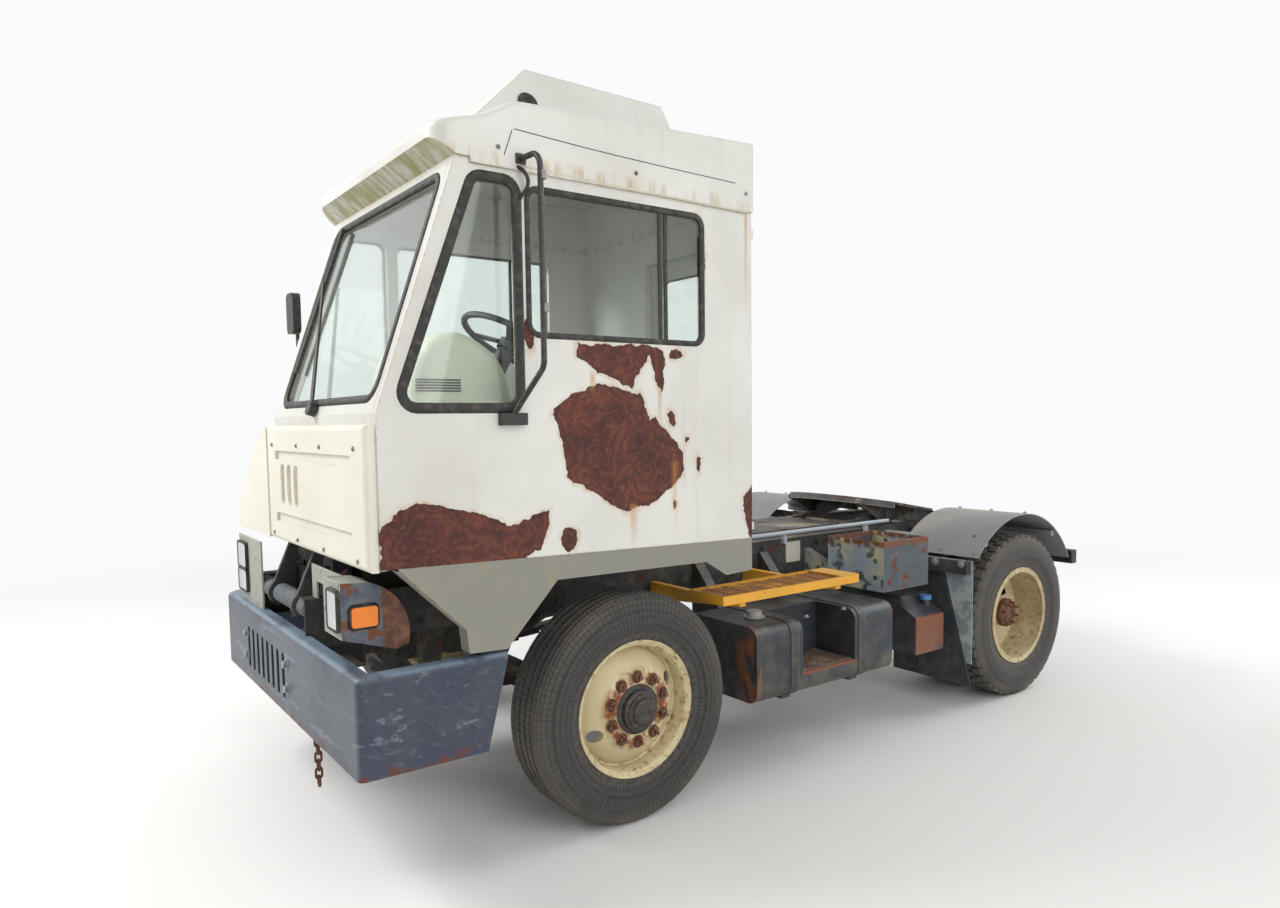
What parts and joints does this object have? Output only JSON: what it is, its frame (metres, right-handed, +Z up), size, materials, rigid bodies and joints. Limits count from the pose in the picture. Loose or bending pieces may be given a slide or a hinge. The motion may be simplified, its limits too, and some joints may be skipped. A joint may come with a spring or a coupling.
{
  "type": "terminal tractor",
  "caption": "Two-axle terminal tractor with an offset tilting cab, sliding rear door, steered front wheels, twin rear wheels and a lifting fifth wheel.",
  "frame": {"origin": "on the ground, midway between the bumper's face and the tail lamps, on the chassis centre line", "axes": "+X forward, +Y to the driver's left, +Z up"},
  "size_m": [4.861, 2.702, 3.2299],
  "materials": {
    "chassis_black": "worn satin black",
    "bumper_paint": "worn blue-grey paint",
    "axle_black": "dusty black",
    "engine_paint": "dull, dusty",
    "radiator_black": "matt black",
    "tank_black": "worn satin black",
    "strap_steel": "black with rust at the edges",
    "step_yellow": "worn yellow",
    "weathered_steel": "flaking grey paint with rust",
    "fender_grey": "satin grey",
    "mud_rubber": "matt",
    "tube_grey": "pale grey",
    "silencer_steel": "dull",
    "chain_steel": "rusty",
    "bracket_cream": "chipped cream paint",
    "lamp_glass": "clear",
    "cab_white": "aged off-white gloss",
    "window_glass": "clear, slightly green",
    "skirt_grey": "warm grey",
    "panel_cream": "moulded fibreglass",
    "dash_plastic": "grained, pale green",
    "black_plastic": "grained",
    "seat_vinyl": "worn vinyl",
    "arm_black": "satin black",
    "tyre_rubber": "dusty",
    "wheel_cream": "cream paint with rust",
    "boom_grey": "worn grey",
    "fifth_steel": "greasy black, bare top",
    "rod_chrome": "polished"
  },
  "bodies": {
    "chassis": {"frame_rails": "chassis_black", "crossmembers": "chassis_black", "tail_bar": "chassis_black", "front_bumper": "bumper_paint", "front_axle_beam": "axle_black", "front_springs": "axle_black", "engine_block": "engine_paint", "driveline": "engine_paint", "rear_axle_housing": "axle_black", "radiator": "radiator_black", "fuel_tank": "tank_black", "tank_brackets": "strap_steel", "step_platform": "step_yellow", "valve_box": "weathered_steel", "hydraulic_tank": "tank_black", "rear_fenders": "fender_grey", "mud_plates": "mud_rubber", "deck_plate": "weathered_steel", "rail_tube": "tube_grey", "air_tank": "tank_black", "silencer": "silencer_steel", "lamp_brackets": "bracket_cream", "lamps": "lamp_glass", "tow_chain": "chain_steel"},
    "cab": {"cab_floor": "chassis_black", "cab_left_side": "cab_white", "cab_right_side": "cab_white", "cab_rear_wall": "cab_white", "cab_front_wall": "cab_white", "cab_glass": "window_glass", "cab_roof": "cab_white", "roof_unit": "cab_white", "cab_skirt": "skirt_grey", "front_panel": "panel_cream", "side_hood": "panel_cream", "dashboard": "dash_plastic", "steering_column": "black_plastic", "seat_base": "black_plastic", "driver_seat": "seat_vinyl", "mirror_arms": "arm_black", "mirror_head": "arm_black", "wiper": "arm_black"},
    "rear_door": {"rear_door": "cab_white", "rear_door_glass": "window_glass"},
    "steering_wheel": {"steering_wheel": "black_plastic"},
    "knuckle_left": {"knuckle_left": "axle_black"},
    "knuckle_right": {"knuckle_right": "axle_black"},
    "tie_rod": {"tie_rod": "axle_black"},
    "front_wheel_left": {"front_tyre_left": "tyre_rubber", "front_wheel_left": "wheel_cream"},
    "front_wheel_right": {"front_tyre_right": "tyre_rubber", "front_wheel_right": "wheel_cream"},
    "rear_wheels_left": {"rear_tyres_left": "tyre_rubber", "rear_rims_left": "wheel_cream"},
    "rear_wheels_right": {"rear_tyres_right": "tyre_rubber", "rear_rims_right": "wheel_cream"},
    "boom": {"boom": "boom_grey"},
    "fifth_wheel": {"fifth_wheel": "fifth_steel"},
    "lift_barrels": {"lift_barrels": "chassis_black"},
    "lift_rods": {"lift_rods": "rod_chrome"}
  },
  "joints": [
    {"name": "cab_tilt", "type": "hinge", "parent": "chassis", "child": "cab", "pos_m": [2.3455, 0, 0.985], "axis": [0, 1, 0], "range_deg": [0, 45]},
    {"name": "rear_door_slide", "type": "slide", "parent": "cab", "child": "rear_door", "axis": [0, -1, 0], "range_m": [0, 0.54]},
    {"name": "steer_left", "type": "hinge", "parent": "chassis", "child": "knuckle_left", "pos_m": [1.1955, 0.905, 0.506], "axis": [0, 0, 1], "range_deg": [-38, 38]},
    {"name": "steer_right", "type": "hinge", "parent": "chassis", "child": "knuckle_right", "pos_m": [1.1955, -0.905, 0.506], "axis": [0, 0, 1], "range_deg": [-38, 38]},
    {"name": "tie_rod_turn", "type": "hinge", "parent": "knuckle_left", "child": "tie_rod", "pos_m": [1.0305, 0.887, 0.396], "axis": [0, 0, 1], "range_deg": [-38, 38]},
    {"name": "steering_wheel_turn", "type": "hinge", "parent": "cab", "child": "steering_wheel", "pos_m": [1.5905, 0.74, 2.06], "axis": [-0.5, 0, 0.866], "range_deg": [-684, 684]},
    {"name": "front_wheel_left_roll", "type": "hinge", "parent": "knuckle_left", "child": "front_wheel_left", "pos_m": [1.1955, 1.008, 0.506], "axis": [0, 1, 0], "continuous": true},
    {"name": "front_wheel_right_roll", "type": "hinge", "parent": "knuckle_right", "child": "front_wheel_right", "pos_m": [1.1955, -1.008, 0.506], "axis": [0, 1, 0], "continuous": true},
    {"name": "rear_wheels_left_roll", "type": "hinge", "parent": "chassis", "child": "rear_wheels_left", "pos_m": [-1.7505, 0.9, 0.506], "axis": [0, 1, 0], "continuous": true},
    {"name": "rear_wheels_right_roll", "type": "hinge", "parent": "chassis", "child": "rear_wheels_right", "pos_m": [-1.7505, -0.9, 0.506], "axis": [0, 1, 0], "continuous": true},
    {"name": "boom_lift", "type": "hinge", "parent": "chassis", "child": "boom", "pos_m": [-0.0905, 0, 0.955], "axis": [0, 1, 0], "range_deg": [0, 16]},
    {"name": "fifth_wheel_tilt", "type": "hinge", "parent": "boom", "child": "fifth_wheel", "pos_m": [-1.5205, 0, 1.097], "axis": [0, 1, 0], "range_deg": [0, 16]},
    {"name": "lift_barrel_turn", "type": "hinge", "parent": "chassis", "child": "lift_barrels", "pos_m": [-0.5705, 0, 0.762], "axis": [0, 1, 0], "range_deg": [0, 23.22]},
    {"name": "lift_rod_slide", "type": "slide", "parent": "lift_barrels", "child": "lift_rods", "axis": [-0.9354, 0, 0.3536], "range_m": [0, 0.1179]}
  ],
  "couplings": [
    {"joint": "steer_right", "follows": "steer_left", "ratio": 1},
    {"joint": "tie_rod_turn", "follows": "steer_left", "ratio": -1},
    {"joint": "steering_wheel_turn", "follows": "steer_left", "ratio": 18},
    {"joint": "lift_barrel_turn", "follows": "boom_lift", "ratio": 1.4388},
    {"joint": "lift_rod_slide", "follows": "boom_lift", "m_per_rad": 0.4186}
  ]
}
